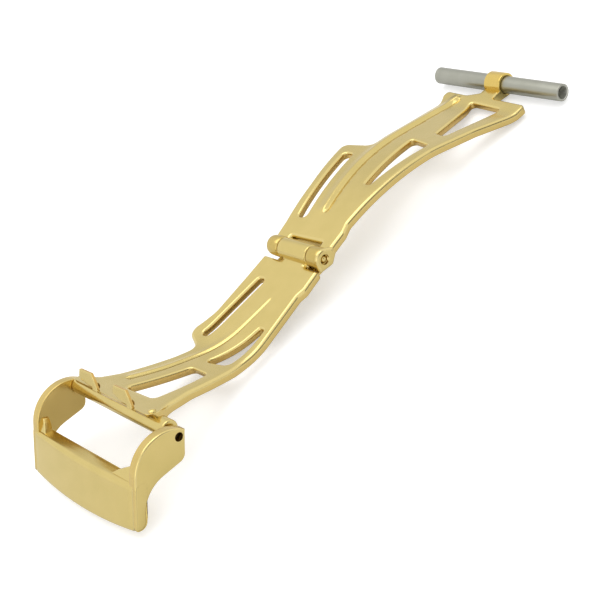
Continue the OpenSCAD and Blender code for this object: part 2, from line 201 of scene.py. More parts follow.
def blank(outline, holes=(), thick=1.0, edge=0.25, under=0.12, pitch=0.45, rails=(), arcs=5,
          crisp=lambda p: 1.0, in_holes=(0.7, 2.0), shaded_wall=(0.3, 0.65), back=0.0):
    """Edge and under are the radii above and below, and crisp gives the share of both at a point.

    In_holes gives the two shares inside holes. The tuple after it gives the painted shade on the walls
    of the outer side and of the holes, and back the painted shade on the underside.
    """
    lines = [outline if area(outline) > 0 else outline[::-1]]
    lines += [h[::-1] if area(h) > 0 else h for h in holes]
    turn = [math.pi / 2 * k / arcs for k in range(arcs + 1)]
    rings = [(edge * (1 - math.sin(a)), edge * (1 - math.cos(a))) for a in turn]
    rings += [(under * (1 - math.sin(a)), under * (1 - math.cos(a))) for a in turn[::-1]]
    bm = bmesh.new()
    rim = bm.verts.layers.float.new("rim")
    wall = bm.verts.layers.float.new("wall")
    tops, bottoms = [], []
    for line in lines:
        outer = line is lines[0]
        normals = inward(line)
        shares = [tuple(crisp(p) * k for k in ((1, 1) if outer else in_holes)) for p in line]
        stack = []
        for k, (inset, depth) in enumerate(rings):
            low = k > arcs
            stack.append([])
            for p, n, share in zip(line, normals, shares):
                level = depth * share[low]
                v = bm.verts.new((*(p + n * inset * share[low]), level - thick if low else -level))
                v[rim] = 1.0 if 0 < k < arcs else 0.0
                v[wall] = (shaded_wall[0] if outer else shaded_wall[1]) if k >= arcs else 0.0
                stack[-1].append(v)
        for a, b in zip(stack, stack[1:]):
            for i in range(len(line)):
                j = (i + 1) % len(line)
                bm.faces.new((a[i], b[i], b[j], a[j]))
        tops.append(stack[0])
        bottoms.append(stack[-1])
    fill(bm, tops, 0, pitch, rails, False)
    fill(bm, bottoms, -thick, pitch * UNDERSIDE, (), True)
    # The underside takes back as painted shade.
    for v in bm.verts:
        if v.co.z < NEAR - thick:
            v[wall] = max(v[wall], back)
    return bm


# %% Turn a bmesh into an object
def new_object(name, data):
    obj = bpy.data.objects.new(name, data)
    bpy.context.scene.collection.objects.link(obj)
    return obj


def as_object(bm, name, finish=None):
    bmesh.ops.recalc_face_normals(bm, faces=bm.faces)
    mesh = bpy.data.meshes.new(name)
    bm.to_mesh(mesh)
    bm.free()
    mesh.shade_smooth()
    if finish:
        mesh.materials.append(finish)
    return new_object(name, mesh)


def moved(bm, place):
    for v in bm.verts:
        v.co = place(v.co)
    return bm


# %% [markdown]
# ## The stamped line
# A die presses one flowing line into each blade, with a soft ridge on its left. On the blank it is a
# height that depends on how far a point lies from the line. The same offsets are also laid into the
# triangles as rails, so that the groove stays sharp.

# %% Sections across a stamped line, and the height they give
# Each point of a section is a distance to the left of the line and a height
FINE_LINE = [(-0.5, 0), (-0.2, -0.05), (-0.1, -0.1), (0.06, 0.08), (0.16, 0.12), (0.5, 0.06), (0.9, 0)]
BOLD_LINE = [(-0.8, 0), (-0.38, -0.06), (-0.17, -0.2), (-0.1, -0.18), (0.08, 0.18), (0.16, 0.24),
             (0.3, 0.25), (0.55, 0.2), (0.9, 0.1), (1.4, 0)]
PAST_END = 0.3


def curve_through(points, count=14):
    """A smooth curve through all points, with count steps between each two."""
    line = []
    for i in range(len(points) - 1):
        a, b = points[max(i - 1, 0)], points[i]
        c, d = points[i + 1], points[min(i + 2, len(points) - 1)]
        for k in range(count):
            t = k / count
            line.append(0.5 * (2 * b + (c - a) * t + (2 * a - 5 * b + 4 * c - d) * t * t
                               + (3 * b - a - 3 * c + d) * t ** 3))
    return line + [points[-1]]


def line_rails(line, section, reach=0.56):
    """Copies of the line beside it, at each of the section's distances within reach."""
    normals = []
    for i in range(len(line)):
        along = (line[min(i + 1, len(line) - 1)] - line[max(i - 1, 0)]).normalized()
        normals.append(Vector((-along.y, along.x)))
    return [[p + n * u for p, n in zip(line, normals)] for u, _ in section if abs(u) <= reach]


def line_height(line, section, fade, grow):
    """The section rises over the share fade at both ends; grow makes it deeper along the way."""
    total = len(line) - 1

    def height(x, y):
        p = Vector((x, y))
        i = min(range(total + 1), key=lambda k: (line[k] - p).length_squared)
        along = (line[min(i + 1, total)] - line[max(i - 1, 0)]).normalized()
        u = along.cross(p - line[i])
        past = abs((p - line[i]).dot(along))
        t = min(i, total - i) / total
        level = 0
        for (u0, h0), (u1, h1) in zip(section, section[1:]):
            if u0 <= u <= u1:
                level = h0 + (h1 - h0) * (u - u0) / (u1 - u0)
        return level * min(1, t / fade) * (1 if past < PAST_END else 0) * (1 - grow / 2 + grow * i / total)
    return height


# %% [markdown]
# ## The press
# Both blades are bent by the same press: stretches of metal, each with a length and a turn. That is a
# rule, so Geometry Nodes bend the blank. One group bends everything past its start; it hands its end
# point and heading to the next group. A chord across an arc points along the mean of its two headings,
# which gives the height without dividing by the turn, and so a turn of zero works too.


# %% Small helpers for node trees
def new_tree(name, sockets, outputs=(("Geometry", "NodeSocketGeometry"),)):
    tree = bpy.data.node_groups.new(name, "GeometryNodeTree")
    for label, kind, value in sockets:
        s = tree.interface.new_socket(label, in_out="INPUT", socket_type=kind)
        if value is not None:
            s.default_value = value
    for label, kind in outputs:
        tree.interface.new_socket(label, in_out="OUTPUT", socket_type=kind)
    return tree, tree.nodes.new("NodeGroupInput"), tree.nodes.new("NodeGroupOutput")


def put(tree, kind, settings=None, **inputs):
    node = tree.nodes.new(kind)
    for key, value in (settings or {}).items():
        setattr(node, key, value)
    for key, value in inputs.items():
        socket = node.inputs[int(key[1:])] if key[0] == "i" and key[1:].isdigit() else node.inputs[key]
        if isinstance(value, bpy.types.NodeSocket):
            tree.links.new(value, socket)
        else:
            socket.default_value = value
    return node


def calc(tree, operation, *values):
    inputs = {"i%d" % i: v for i, v in enumerate(values)}
    return put(tree, "ShaderNodeMath", {"operation": operation}, **inputs).outputs[0]


def dress(tree, geometry, given, result):
    """Every tree ends alike: real geometry, with the finish as its material."""
    plain = put(tree, "GeometryNodeRealizeInstances", Geometry=geometry)
    dressed = put(tree, "GeometryNodeSetMaterial", Geometry=plain.outputs[0],
                  Material=given.outputs["Finish"])
    tree.links.new(dressed.outputs[0], result.inputs[0])


NUMBER, SHAPE = "NodeSocketFloat", "NodeSocketGeometry"
VECTOR, FINISH = "NodeSocketVector", "NodeSocketMaterial"

# %% One stretch of the press
STEEPEST = 0.99
stretch, given, result = new_tree(
    "Bend one stretch",
    [("Geometry", SHAPE, None), ("Depth", NUMBER, 0), ("X", NUMBER, 0), ("Z", NUMBER, 0),
     ("Heading", NUMBER, 0), ("Length", NUMBER, 1), ("Turn", NUMBER, 0)],
    [("Geometry", SHAPE), ("X", NUMBER), ("Z", NUMBER), ("Heading", NUMBER)])
g = given.outputs
place = put(stretch, "ShaderNodeSeparateXYZ", i0=put(stretch, "GeometryNodeInputPosition").outputs[0])
run = calc(stretch, "SUBTRACT", place.outputs[0], g["X"])
bend = calc(stretch, "DIVIDE", g["Turn"], g["Length"])
sine = calc(stretch, "ADD", calc(stretch, "SINE", g["Heading"]), calc(stretch, "MULTIPLY", run, bend))
sine = calc(stretch, "MAXIMUM", -STEEPEST, calc(stretch, "MINIMUM", STEEPEST, sine))
here = calc(stretch, "ARCSINE", sine)
mean = calc(stretch, "MULTIPLY", 0.5, calc(stretch, "ADD", here, g["Heading"]))
rise = calc(stretch, "MULTIPLY", run, calc(stretch, "TANGENT", mean))
sunk = calc(stretch, "DIVIDE", g["Depth"], calc(stretch, "COSINE", here))
level = calc(stretch, "SUBTRACT", calc(stretch, "ADD", g["Z"], rise), sunk)
target = put(stretch, "ShaderNodeCombineXYZ", i0=place.outputs[0], i1=place.outputs[1], i2=level)
beyond = calc(stretch, "GREATER_THAN", run, 0)
setter = put(stretch, "GeometryNodeSetPosition", Geometry=g["Geometry"], Selection=beyond,
             Position=target.outputs[0])
half_turn = calc(stretch, "MULTIPLY", g["Turn"], 0.5)
chord_way = calc(stretch, "ADD", g["Heading"], half_turn)
shrink = calc(stretch, "SUBTRACT", 1, calc(stretch, "DIVIDE", calc(stretch, "POWER", half_turn, 2), 6))
chord = calc(stretch, "MULTIPLY", g["Length"], shrink)
ahead = calc(stretch, "MULTIPLY", chord, calc(stretch, "COSINE", chord_way))
climb = calc(stretch, "MULTIPLY", chord, calc(stretch, "SINE", chord_way))
ends = {"Geometry": setter.outputs[0],
        "X": calc(stretch, "ADD", g["X"], ahead),
        "Z": calc(stretch, "ADD", g["Z"], climb),
        "Heading": calc(stretch, "ADD", g["Heading"], g["Turn"])}
for label, socket in ends.items():
    stretch.links.new(socket, result.inputs[label])
print("press group:", len(stretch.nodes), "nodes")

# %% The whole press, up to four stretches
STRETCHES = 4
press, given, result = new_tree(
    "Press a blade",
    [("Geometry", SHAPE, None), ("Start X", NUMBER, 0), ("Start Z", NUMBER, 0),
     ("Start heading", NUMBER, 0)]
    + [(label % k, NUMBER, value) for k in range(1, STRETCHES + 1)
       for label, value in (("Length %d", 1.0), ("Turn %d", 0.0))]
    + [("Finish", FINISH, None)])
g = given.outputs
deep = put(press, "ShaderNodeSeparateXYZ", i0=put(press, "GeometryNodeInputPosition").outputs[0])
kept = put(press, "GeometryNodeStoreNamedAttribute", Geometry=g["Geometry"], Name="depth",
           Value=calc(press, "MULTIPLY", deep.outputs[2], -1))
depth = put(press, "GeometryNodeInputNamedAttribute", Name="depth").outputs[0]
flow = {"Geometry": kept.outputs[0], "X": g["Start X"], "Z": g["Start Z"], "Heading": g["Start heading"]}
for k in range(1, STRETCHES + 1):
    group = put(press, "GeometryNodeGroup", {"node_tree": stretch}, Depth=depth,
                Length=g["Length %d" % k], Turn=g["Turn %d" % k], **flow)
    flow = {label: group.outputs[label] for label in flow}
dress(press, flow["Geometry"], given, result)
print("press tree inputs:", ", ".join(g.keys()))

# %% [markdown]
# ## Running a tree and keeping a plain mesh
# A modifier's inputs are set by each socket's identifier. The evaluated result is then copied to an
# ordinary mesh, and the modifier goes, so that nothing depends on the tree afterwards.


# %% Run a tree on an object
SAME_PLACE = 1e-5


def run_tree(obj, tree, values, name):
    mod = obj.modifiers.new("tree", "NODES")
    mod.node_group = tree
    for item in tree.interface.items_tree:
        if item.item_type == "SOCKET" and item.in_out == "INPUT" and item.name in values:
            mod[item.identifier] = values[item.name]
    bpy.context.view_layer.update()
    graph = bpy.context.evaluated_depsgraph_get()
    mesh = bpy.data.meshes.new_from_object(obj.evaluated_get(graph), depsgraph=graph)
    bpy.data.objects.remove(obj)
    bm = bmesh.new()
    bm.from_mesh(mesh)
    bmesh.ops.remove_doubles(bm, verts=bm.verts, dist=SAME_PLACE)
    bmesh.ops.recalc_face_normals(bm, faces=bm.faces)
    bm.to_mesh(mesh)
    bm.free()
    mesh.shade_smooth()
    return new_object(name, mesh)


def grown(name, tree, values):
    """Trees that need no blank start from an empty mesh."""
    return run_tree(new_object(name, bpy.data.meshes.new(name)), tree, values, name)


# %% Join shells into one finished piece
def finish_piece(name, parts, body, nodes, mirror=False):
    """Shells become one mesh, in metres and in the frame's place, that rides on its body."""
    bm = bmesh.new()
    slots = []
    for part in parts:
        base = len(slots)
        slots += list(part.data.materials)
        before = len(bm.faces)
        bm.from_mesh(part.data)
        bm.faces.ensure_lookup_table()
        for face in bm.faces[before:]:
            face.material_index += base
        bpy.data.objects.remove(part)
    for v in bm.verts:
        if mirror:
            v.co.x = -v.co.x
        v.co = (v.co + hinge) * MM
    if mirror:
        bmesh.ops.reverse_faces(bm, faces=bm.faces)
    mesh = bpy.data.meshes.new(name)
    bm.to_mesh(mesh)
    bm.free()
    for material in slots:
        mesh.materials.append(material)
    piece = new_object(name, mesh)
    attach(piece, body)
    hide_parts(*nodes)
    print("%s: %d faces from %d shells" % (name, len(mesh.polygons), len(parts)))


# %% [markdown]
# ## Gold plate
# The clasp is steel with polished gold plate. Plate mirrors its room softly: its roughness varies a
# little from place to place, fine polishing lines run along the strap, and the rounded edges get a
# brighter tint, a painted highlight. The cut walls get a deeper tone, painted shade, and are duller. The
# outer knuckles get a darker copy of the gold, painted shade, and the loop a warmer, brighter copy,
# painted light. The material reads Object coordinates in metres, so its detail keeps its real size.


# %% Helpers for materials
def material(name):
    mat = bpy.data.materials.new(name)
    mat.use_nodes = True
    tree = mat.node_tree
    tree.nodes.clear()
    shader = tree.nodes.new("ShaderNodeBsdfPrincipled")
    out = tree.nodes.new("ShaderNodeOutputMaterial")
    tree.links.new(shader.outputs[0], out.inputs[0])
    return mat, tree, shader


def ramp(tree, value, stops):
    node = put(tree, "ShaderNodeValToRGB", i0=value)
    while len(node.color_ramp.elements) < len(stops):
        node.color_ramp.elements.new(0.5)
    for element, (at, color) in zip(node.color_ramp.elements, stops):
        element.position = at
        element.color = (*color, 1)
    return node.outputs[0]


def noise(tree, scale, stretch=(1, 1, 1), detail=3):
    where = put(tree, "ShaderNodeTexCoord").outputs["Object"]
    mapped = put(tree, "ShaderNodeMapping", Vector=where)
    mapped.inputs["Scale"].default_value = stretch
    return put(tree, "ShaderNodeTexNoise", Vector=mapped.outputs[0], Scale=scale, Detail=detail).outputs[0]


# %% The recipe for a metal
# Patches are some 2 mm wide, and the polishing lines are 14 times as long as they are wide
CLOUD, LINES, DRAWN = 420, 900, (1, 14, 14)
RIM_SHARE, WALL_DULL, RELIEF = 0.6, 0.12, 0.02 * MM


def metal(name, low, high, rim, deep, rough, bump=0.04):
    """Low and high are the two body tones, and rough is the range of the roughness."""
    mat, tree, shader = material(name)
    cloud = noise(tree, CLOUD)
    lines = noise(tree, LINES, DRAWN, 4)
    # The rounded edges get a brighter tint, a painted highlight.
    highlight_rim = put(tree, "ShaderNodeAttribute", {"attribute_name": "rim"}).outputs["Fac"]
    body = ramp(tree, cloud, ((0.3, low), (0.7, high)))
    edge = calc(tree, "MULTIPLY", highlight_rim, RIM_SHARE)
    tint = put(tree, "ShaderNodeMix", {"data_type": "RGBA"}, i0=edge, i6=body, i7=(*rim, 1))
    # The walls get a deeper tone, painted shade, and a little more roughness.
    shaded_wall = put(tree, "ShaderNodeAttribute", {"attribute_name": "wall"}).outputs["Fac"]
    tone = put(tree, "ShaderNodeMix", {"data_type": "RGBA"}, i0=shaded_wall, i6=tint.outputs[2], i7=(*deep, 1))
    tree.links.new(tone.outputs[2], shader.inputs["Base Color"])
    shader.inputs["Metallic"].default_value = 1.0
    span = put(tree, "ShaderNodeMapRange", Value=lines)
    span.inputs["To Min"].default_value = rough[0]
    span.inputs["To Max"].default_value = rough[1]
    dull = calc(tree, "ADD", span.outputs[0], calc(tree, "MULTIPLY", shaded_wall, WALL_DULL))
    tree.links.new(dull, shader.inputs["Roughness"])
    relief = put(tree, "ShaderNodeBump", Height=lines)
    relief.inputs["Strength"].default_value = bump
    relief.inputs["Distance"].default_value = RELIEF
    tree.links.new(relief.outputs[0], shader.inputs["Normal"])
    return mat


# %% The clasp's metals
# The walls' deeper gold is painted shade.
wall_shade_gold = (0.68, 0.44, 0.13)
gold = metal("polished gold plate", (0.68, 0.54, 0.2), (0.72, 0.57, 0.22), (0.8, 0.65, 0.28),
             wall_shade_gold, (0.16, 0.26))
# A darker copy of the gold: painted shade on the outer knuckles.
shaded_gold = metal("gold plate with painted shade", (0.6, 0.45, 0.14), (0.64, 0.48, 0.16), (0.76, 0.6, 0.25),
                  wall_shade_gold, (0.2, 0.3))
# A warmer, brighter copy of the gold: painted light on the loop.
lit_gold = metal("gold plate with painted light", (0.74, 0.54, 0.15), (0.79, 0.58, 0.18), (0.86, 0.67, 0.27),
                  wall_shade_gold, (0.12, 0.22))
steel = metal("satin steel", (0.38, 0.38, 0.32), (0.43, 0.43, 0.37), (0.56, 0.56, 0.5),
              (0.3, 0.3, 0.27), (0.32, 0.42), 0.08)
# A far brighter steel: painted light inside the tube's bore.
lit_bore_steel = metal("bore steel with painted light", (0.82, 0.82, 0.76), (0.88, 0.88, 0.82), (0.9, 0.9, 0.86),
                    (0.8, 0.8, 0.74), (0.4, 0.5))
# A near-black steel: painted shade for the frame pin in its holes.
shadow_steel = metal("pin steel with painted shade", (0.045, 0.035, 0.02), (0.06, 0.045, 0.026), (0.12, 0.1, 0.06),
                   (0.04, 0.03, 0.02), (0.35, 0.45))
print("metals:", ", ".join(m.name for m in (gold, shaded_gold, lit_gold, steel, lit_bore_steel, shadow_steel)))

# %% [markdown]
# ## The outer blade's sheet
# The outer blade runs from the hinge down to the table and up to the buckle. Its outline, its three
# slots and its stamped line are drawn as shares of its span, measured from the hinge. It is modelled
# with x running towards the buckle, and x is mirrored when the piece is finished.

# %% Where the blades run
# A start is x, z and a heading, and each bend is a length and a turn, all turns in degrees
BLADE = 1.05
OUTER_BENDS = [(10.2, 0), (5.55, 32.4), (12.8, 10.8)]
OUTER_START = (0.75, -0.61, -11.2)
INNER_BENDS = [(20.85, -29.6), (9, 0), (1.35, 16.3), (2.5, 0)]
INNER_START = (0.8, 0.39, 12.3)


def path_end(start, bends):
    """Where a sheet ends after its bends, and which way it points there."""
    x, z, heading = start[0], start[1], math.radians(start[2])
    for length, turn in bends:
        half = math.radians(turn) / 2
        chord = length * (math.sin(half) / half if half else 1)
        x += chord * math.cos(heading + half)
        z += chord * math.sin(heading + half)
        heading += 2 * half
    return x, z, heading


def on_span(span, points):
    """Places along a blade are written as shares of its span."""
    return [(p[0] * span, *p[1:]) for p in points]


for side, bends in (("outer", OUTER_BENDS), ("inner", INNER_BENDS)):
    print("%s sheet: %.2f mm of metal in %d stretches" % (side, sum(b[0] for b in bends), len(bends)))

# %% Draw the outer blade
tip_x, tip_z, tip_heading = path_end(OUTER_START, OUTER_BENDS)
PLATE_TRIM = 0.25
plate_x = tip_x - PLATE_TRIM
plate_z = tip_z - PLATE_TRIM * math.tan(tip_heading)
CLAW_LEFT, CLAW_APART = 2.4, 6.65
claws_at = (CLAW_LEFT, CLAW_LEFT - CLAW_APART)
CLAW_W, CLAW_H, CLAW_T = 3.6, 1.53, 0.35
rising = math.degrees(tip_heading)
print("end plate's tip at x %.2f z %.2f, rising %.1f degrees" % (plate_x, plate_z, rising))

# The middle knuckle grows from the blade, so the sheet ends in a tongue there
OUTER_RIM = [(0.153, 5.25, 2), (0.35, 6, 3), (0.478, 7.6, 1.4), (0.54, 4.1, 1.2), (0.639, 4.3, 3),
             (0.85, 5.25, 2), (0.925, 6, 0.8), (0.96, 7.3, 0.5), (1, 7.6, 0.6)]
OUTER_BACK = [(1, -7.5, 0.7), (0.95, -6.95, 1.4), (0.89, -5.95, 3), (0.79, -4.9, 4), (0.529, -4.2, 3),
              (0.175, -4.3, 0.6), (0.14, -4.68, 0.6)]

# Each claw leaves an opening behind it, with a slit from there to the tip: (back, to the left, radius)
OPENING = [(0, -0.03, 0), (0.2, -0.03, 0.05), (0.4, 0.2, 0.04), (0.4, 2.85, 0.1), (0.55, 3, 0.1),
           (0.9, 3, 0.15), (1.12, 2.7, 0.2), (1.1, 1.7, 0.5), (0.93, 1.15, 0.5), (0.7, 0.68, 0.3),
           (0.4, 0.28, 0.2), (0.05, -0.42, 0.1), (0, -0.42, 0)]
openings = [(plate_x - back, y + left, r) for y in claws_at for back, left, r in OPENING]
KNUCKLE_LOW, KNUCKLE_HIGH = -2.95, 1.95
tongue = [(1.2, -4.65, 0.3), (1.2, -2.58, 0.1), (0.3, -2.58, 0), (0.3, KNUCKLE_HIGH - 0.05, 0),
          (1.2, KNUCKLE_HIGH - 0.05, 0.1), (1.2, 4.9, 0.3)]
outline = rounded(on_span(plate_x, OUTER_RIM) + openings + on_span(plate_x, OUTER_BACK) + tongue, 0.22)
OUTER_SLOTS = [
    [(0.146, 1.95, 0.5), (0.15, 3.15, 0.5), (0.474, 5.5, 0.5), (0.467, 4.25, 0.5)],
    [(0.354, -3, 0.3), (0.354, -2.3, 0.3), (0.595, 0.2, 0.4), (0.569, -2.9, 0.9)],
    [(0.657, 0.2, 0.5), (0.912, 1.3, 0.5), (0.901, -3.5, 0.5), (0.657, -2.7, 0.5)]]
# The line's depth grows along the outer blade, and its end plate thins out under the tip
OUTER_LINE = [(0.212, -0.95), (0.35, 0.1), (0.464, 1.1), (0.58, 2), (0.726, 2.5), (0.869, 3.3)]


# %% Press a blade from its drawing
BLADE_EDGE, BLADE_UNDER, LINE_FADE = 0.42, 0.22, 0.04
TIP_SOFT, TIP_CRISP, TIP_THIN = 2.4, 1.4, 1.2


def ease(x, low, high):
    """A soft step from 0 at low to 1 at high."""
    t = min(1, max(0, (x - low) / (high - low)))
    return t * t * (3 - 2 * t)


def press_blade(name, outline, holes, line, section, span, start, bends, crisp, grow=0.0, lip=0.0):
    """Crisp is the share that the edge radius loses at the tip, lip the share of thickness lost there."""
    path = curve_through([Vector(p) for p in on_span(span, line)])
    bm = blank(outline, holes, BLADE, edge=BLADE_EDGE, under=BLADE_UNDER, rails=line_rails(path, section),
               crisp=lambda p: 1 - crisp * ease(p.x, span - TIP_SOFT, span - TIP_CRISP))
    lift = line_height(path, section, LINE_FADE, grow)
    for v in bm.verts:
        v.co.z += lift(v.co.x, v.co.y) * max(0, 1 + v.co.z / BLADE)
        v.co.z *= 1 - lip * min(1, max(0, (v.co.x - span + TIP_THIN) / TIP_THIN))
    values = {"Start X": start[0], "Start Z": start[1], "Start heading": math.radians(start[2]),
              "Finish": gold}
    for k in range(STRETCHES):
        length, turn = bends[k] if k < len(bends) else (1.0, 0.0)
        values["Length %d" % (k + 1)] = float(length)
        values["Turn %d" % (k + 1)] = math.radians(turn)
    return run_tree(as_object(bm, name), press, values, name)


outer_holes = [rounded(on_span(plate_x, h)) for h in OUTER_SLOTS]
outer_sheet = press_blade("outer_sheet", outline, outer_holes, OUTER_LINE, FINE_LINE, plate_x,
                          OUTER_START, OUTER_BENDS, crisp=0.85, grow=1.0, lip=0.6)
print("outer sheet: %d faces" % len(outer_sheet.data.polygons))

# %% [markdown]
# ## Rings on an axis
# The open knuckles, the loop round the tube and the tube itself are all rings on an axis across the
# clasp. One Geometry Nodes tree makes them: a rounded rectangle is swept round a circle, so every edge
# is soft.

# %% The ring tree
ring_tree, given, result = new_tree(
    "Ring on an axis",
    [("Geometry", SHAPE, None), ("Outer radius", NUMBER, 1.2), ("Bore radius", NUMBER, 0.5),
     ("Width", NUMBER, 4), ("Edge radius", NUMBER, 0.1), ("Sides", "NodeSocketInt", 96),
     ("Place", VECTOR, (0, 0, 0)), ("Finish", FINISH, None)])
g = given.outputs
mean_r = calc(ring_tree, "MULTIPLY", 0.5, calc(ring_tree, "ADD", g["Outer radius"], g["Bore radius"]))
wall = calc(ring_tree, "SUBTRACT", g["Outer radius"], g["Bore radius"])
way = put(ring_tree, "GeometryNodeCurvePrimitiveCircle", Resolution=g["Sides"], Radius=mean_r)
section = put(ring_tree, "GeometryNodeCurvePrimitiveQuadrilateral", Width=wall, Height=g["Width"])
soft = put(ring_tree, "GeometryNodeFilletCurve", {"mode": "POLY"}, Curve=section.outputs[0],
           Radius=g["Edge radius"], Count=5)
soft.inputs["Limit Radius"].default_value = True
swept = put(ring_tree, "GeometryNodeCurveToMesh", Curve=way.outputs[0])
ring_tree.links.new(soft.outputs[0], swept.inputs["Profile Curve"])
laid = put(ring_tree, "GeometryNodeTransform", Geometry=swept.outputs[0], Translation=g["Place"],
           Rotation=(math.pi / 2, 0, 0))
dress(ring_tree, laid.outputs[0], given, result)


def ring(name, x, z, y0, y1, outer, bore, edge, finish):
    values = {"Outer radius": outer, "Bore radius": bore, "Width": y1 - y0, "Edge radius": edge,
              "Sides": 96, "Place": (x, (y0 + y1) / 2, z), "Finish": finish}
    obj = grown(name, ring_tree, values)
    size = [round(s, 2) for s in obj.dimensions]
    print("%s: ring %s mm" % (name, size))
    return obj


# %% The middle knuckle and the ledge below it
KNUCKLE, KNUCKLE_EDGE, PIN, PLAY = 1.22, 0.18, 0.47, 0.03
middle_knuckle = ring("middle_knuckle", 0, 0, KNUCKLE_LOW, KNUCKLE_HIGH, KNUCKLE, PIN + PLAY,
                      KNUCKLE_EDGE, gold)
# Below the knuckles the sheet's root runs on as a thin ledge, in their shadow
LEDGE_T, LEDGE_EDGE, LEDGE_DOWN = 0.4, 0.1, 1.3
LEDGE = [(0.35, -4.2, 0.2), (0.35, 3.2, 0.2), (1.4, 3.2, 0.2), (1.4, -4.2, 0.2)]
ledge = blank(rounded(LEDGE), thick=LEDGE_T, edge=LEDGE_EDGE, under=LEDGE_EDGE)
ledge = as_object(moved(ledge, lambda p: Vector((p.x, p.y, p.z - LEDGE_DOWN))), "ledge", gold)
print("ledge: %d faces" % len(ledge.data.polygons))

# %% [markdown]
# ## Strap claws
# Two claws bite into the strap. Each was lanced out of the end plate and bent up square to it, so it is a
# thin leaf of the same sheet: a neck on its right carries a wide head. A blank gives the leaf's outline,
# and then it is stood on the plate's tip.

# %% Two claws
LEAF = [(0, -0.3, 0), (0.95, -0.3, 0), (0.95, 0.02, 0.05), (2.1, 0.14, 1.5), (CLAW_W, 0.6, 0.15),
        (CLAW_W - 0.13, CLAW_H - 0.06, 0.1), (1.15, CLAW_H, 0.12), (0.55, 0.85, 1.2), (0, 0.1, 0.2)]


def claw(y_right):
    # The claw's walls take the full painted shade.
    bm = blank(rounded(LEAF, 0.12), thick=CLAW_T, edge=0.06, under=0.05, pitch=0.2, shaded_wall=(1.0, 1.0))
    slope, level = math.sin(tip_heading), math.cos(tip_heading)
    return moved(bm, lambda p: Vector((plate_x + p.z * level - p.y * slope, y_right + p.x,
                                       plate_z + p.z * slope + p.y * level)))


claws = [as_object(claw(y), "claw", gold) for y in claws_at]
finish_piece("outer_blade_pressed", [outer_sheet, middle_knuckle, ledge] + claws, "outer_half",
             ["outer_blade"], mirror=True)

# %% [markdown]
# ## A lathe
# Pins and bars come off a lathe: a profile of radius against length, turned round its axis. A peened
# pin has slightly domed ends, and the crossbar's ends are flat.


# %% A lathe
def turned(name, profile, x, z, finish, sides=64):
    """The profile lists (place along the axis, radius) from one end to the other."""
    bm = bmesh.new()
    rings = []
    for y, r in profile:
        if r == 0:
            rings.append([bm.verts.new((x, y, z))])
        else:
            rings.append([bm.verts.new((x + r * math.cos(a), y, z + r * math.sin(a)))
                          for a in [2 * math.pi * k / sides for k in range(sides)]])
    for a, b in zip(rings, rings[1:]):
        for i in range(sides):
            j = (i + 1) % sides
            loop = [a[i % len(a)], a[j % len(a)], b[j % len(b)], b[i % len(b)]]
            bm.faces.new(list(dict.fromkeys(loop)))
    return as_object(bm, name, finish)


def domed(right, left, r, edge, dome, arcs=4):
    """The profile of a bar with round edges, whose ends rise by dome in the middle."""
    turn = [math.pi / 2 * k / arcs for k in range(arcs + 1)]
    corner = [(dome + edge * (1 - math.cos(a)), r - edge * (1 - math.sin(a))) for a in turn]
    low = [(right + inset, radius) for inset, radius in corner]
    high = [(left - inset, radius) for inset, radius in corner[::-1]]
    return [(right, 0)] + low + high + [(left, 0)]


# %% [markdown]
# ## The inner blade
# The inner blade arches up from the hinge and comes down to the tube. It carries the two outer
# knuckles, a small ear that covers the pin's end, and a neck that rolls round the tube as a loop.

# %% Punch and press the inner blade
inner_x, inner_z, _ = path_end(INNER_START, INNER_BENDS)
INNER_LEFT = [(0.089, 4.6, 2), (0.266, 5.9, 4), (0.503, 8.2, 1.0), (0.531, 4.1, 1.0), (0.71, 4.8, 4),
              (0.905, 5.8, 1), (0.953, 6.5, 0.6), (0.982, 6.4, 0.5), (0.976, 3.0, 1.2), (1.0, 1.22, 0.4),
              (1.022, 1.22, 0)]
INNER_RIGHT = [(1.022, -1.22, 0), (0.978, -1.22, 0.5), (0.97, -6.7, 0.6), (0.923, -6.7, 0.6),
               (0.754, -5.3, 4), (0.562, -4.7, 4), (0.148, -4.6, 1.2), (0.107, -5.07, 1)]
SLIT_LOW, SLIT_HIGH = KNUCKLE_LOW - 0.1, KNUCKLE_HIGH + 0.1
root = [(0.3, -5.07, 0), (0.3, SLIT_LOW, 0), (1.8, SLIT_LOW, 0.15), (1.55, SLIT_HIGH, 0.12),
        (0.3, SLIT_HIGH, 0), (0.3, 4.35, 0)]
outline = rounded(on_span(inner_x, INNER_LEFT) + on_span(inner_x, INNER_RIGHT) + root)
INNER_SLOTS = [
    [(0.124, 2.1, 0.5), (0.124, 3.3, 0.5), (0.456, 6.3, 0.5), (0.456, 4.8, 0.5)],
    [(0.325, -2.6, 0.25), (0.325, -1.8, 0.25), (0.615, 0.2, 0.35), (0.598, -3.1, 0.4)],
    [(0.68, -3.0, 0.35), (0.686, -1.4, 0.35), (0.941, 1.3, 0.4), (0.929, -3.8, 0.4)]]
INNER_LINE = [(0.16, -0.1), (0.278, 0.9), (0.408, 1.9), (0.55, 2.7), (0.71, 3.4), (0.9, 4.0), (0.955, 3.5)]
inner_holes = [rounded(on_span(inner_x, h)) for h in INNER_SLOTS]
inner_sheet = press_blade("inner_sheet", outline, inner_holes, INNER_LINE, BOLD_LINE, inner_x,
                          INNER_START, INNER_BENDS, crisp=0.4)
print("inner sheet: %d faces, end at x %.2f z %.2f" % (len(inner_sheet.data.polygons), inner_x, inner_z))

# %% Knuckles, ear, neck and loop
KNUCKLE_LEFT, KNUCKLE_RIGHT = 4.25, 4.7
EAR, EAR_HOLE, INTO_EAR = 0.4, 0.6, 0.1
LOOP_IN, LOOP_OUT, LOOP_W, NECK_OVER = 1.08, 1.44, 2.5, 0.03
